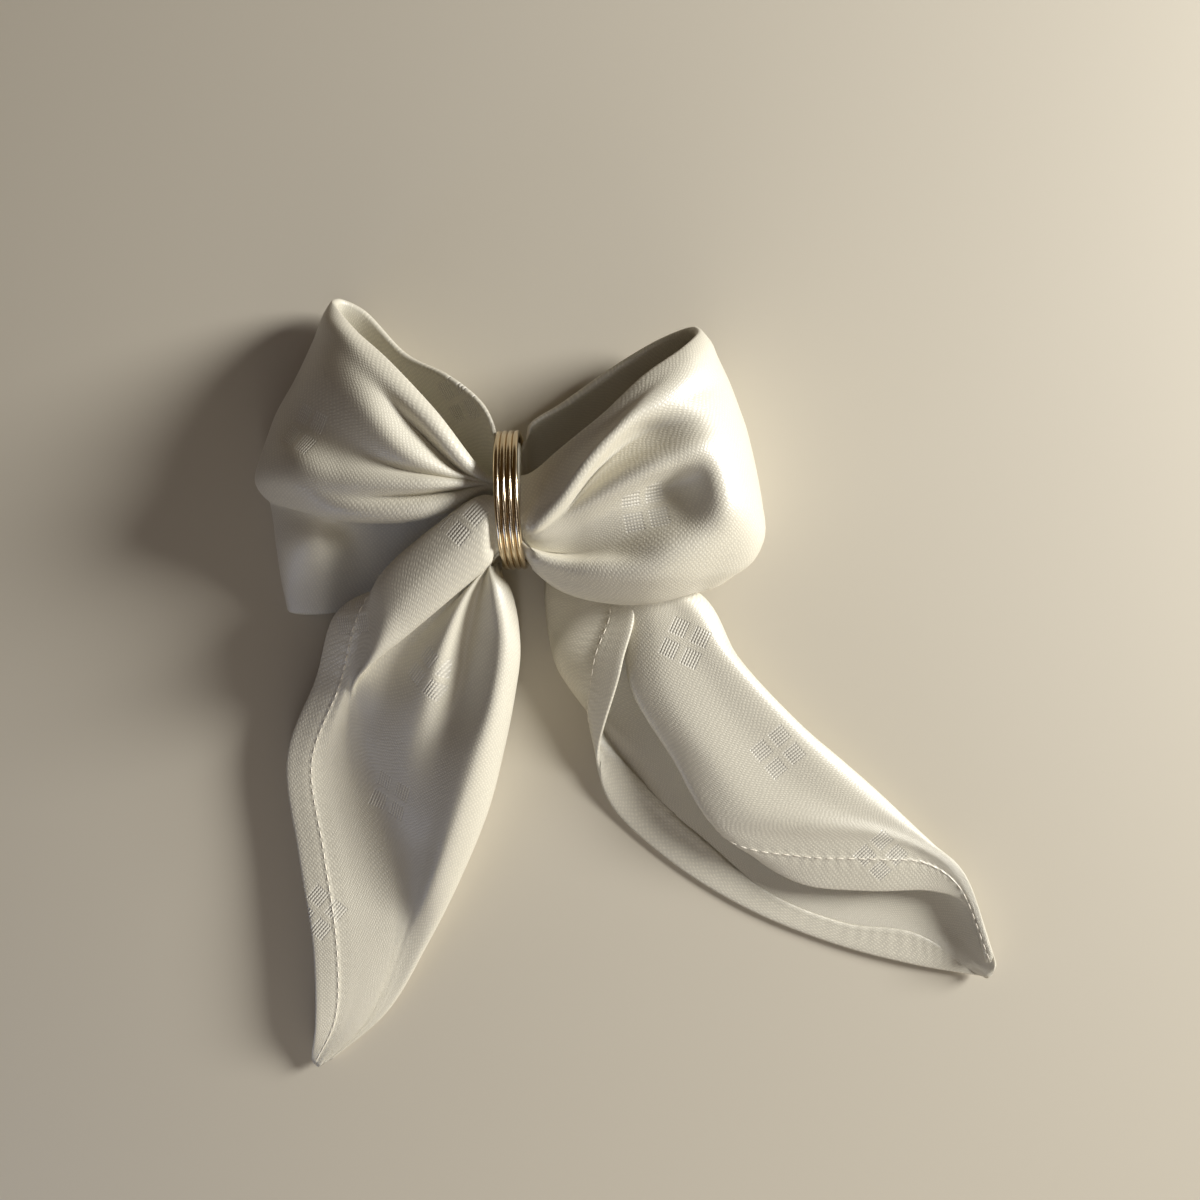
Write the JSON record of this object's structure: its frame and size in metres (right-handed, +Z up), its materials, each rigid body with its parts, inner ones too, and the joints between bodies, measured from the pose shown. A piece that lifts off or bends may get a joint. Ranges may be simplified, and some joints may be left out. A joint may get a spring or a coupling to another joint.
{
  "type": "cloth napkin in a ring",
  "caption": "Satin damask napkin folded into a soft bow with two loops and two pointed tails, held at the waist by a slim ring of fine metal wires.",
  "frame": {"origin": "on the table surface, under the middle of the whole piece", "axes": "+Z up from the table; +Y from the tips of the tails towards the loops; +X from the left loop towards the right one, seen from above"},
  "size_m": [0.2256, 0.2364, 0.0455],
  "materials": {
    "napkin": "satin damask",
    "ring": "polished pale gilt"
  },
  "bodies": {
    "root": {"napkin": "napkin", "ring": "ring"}
  },
  "joints": []
}
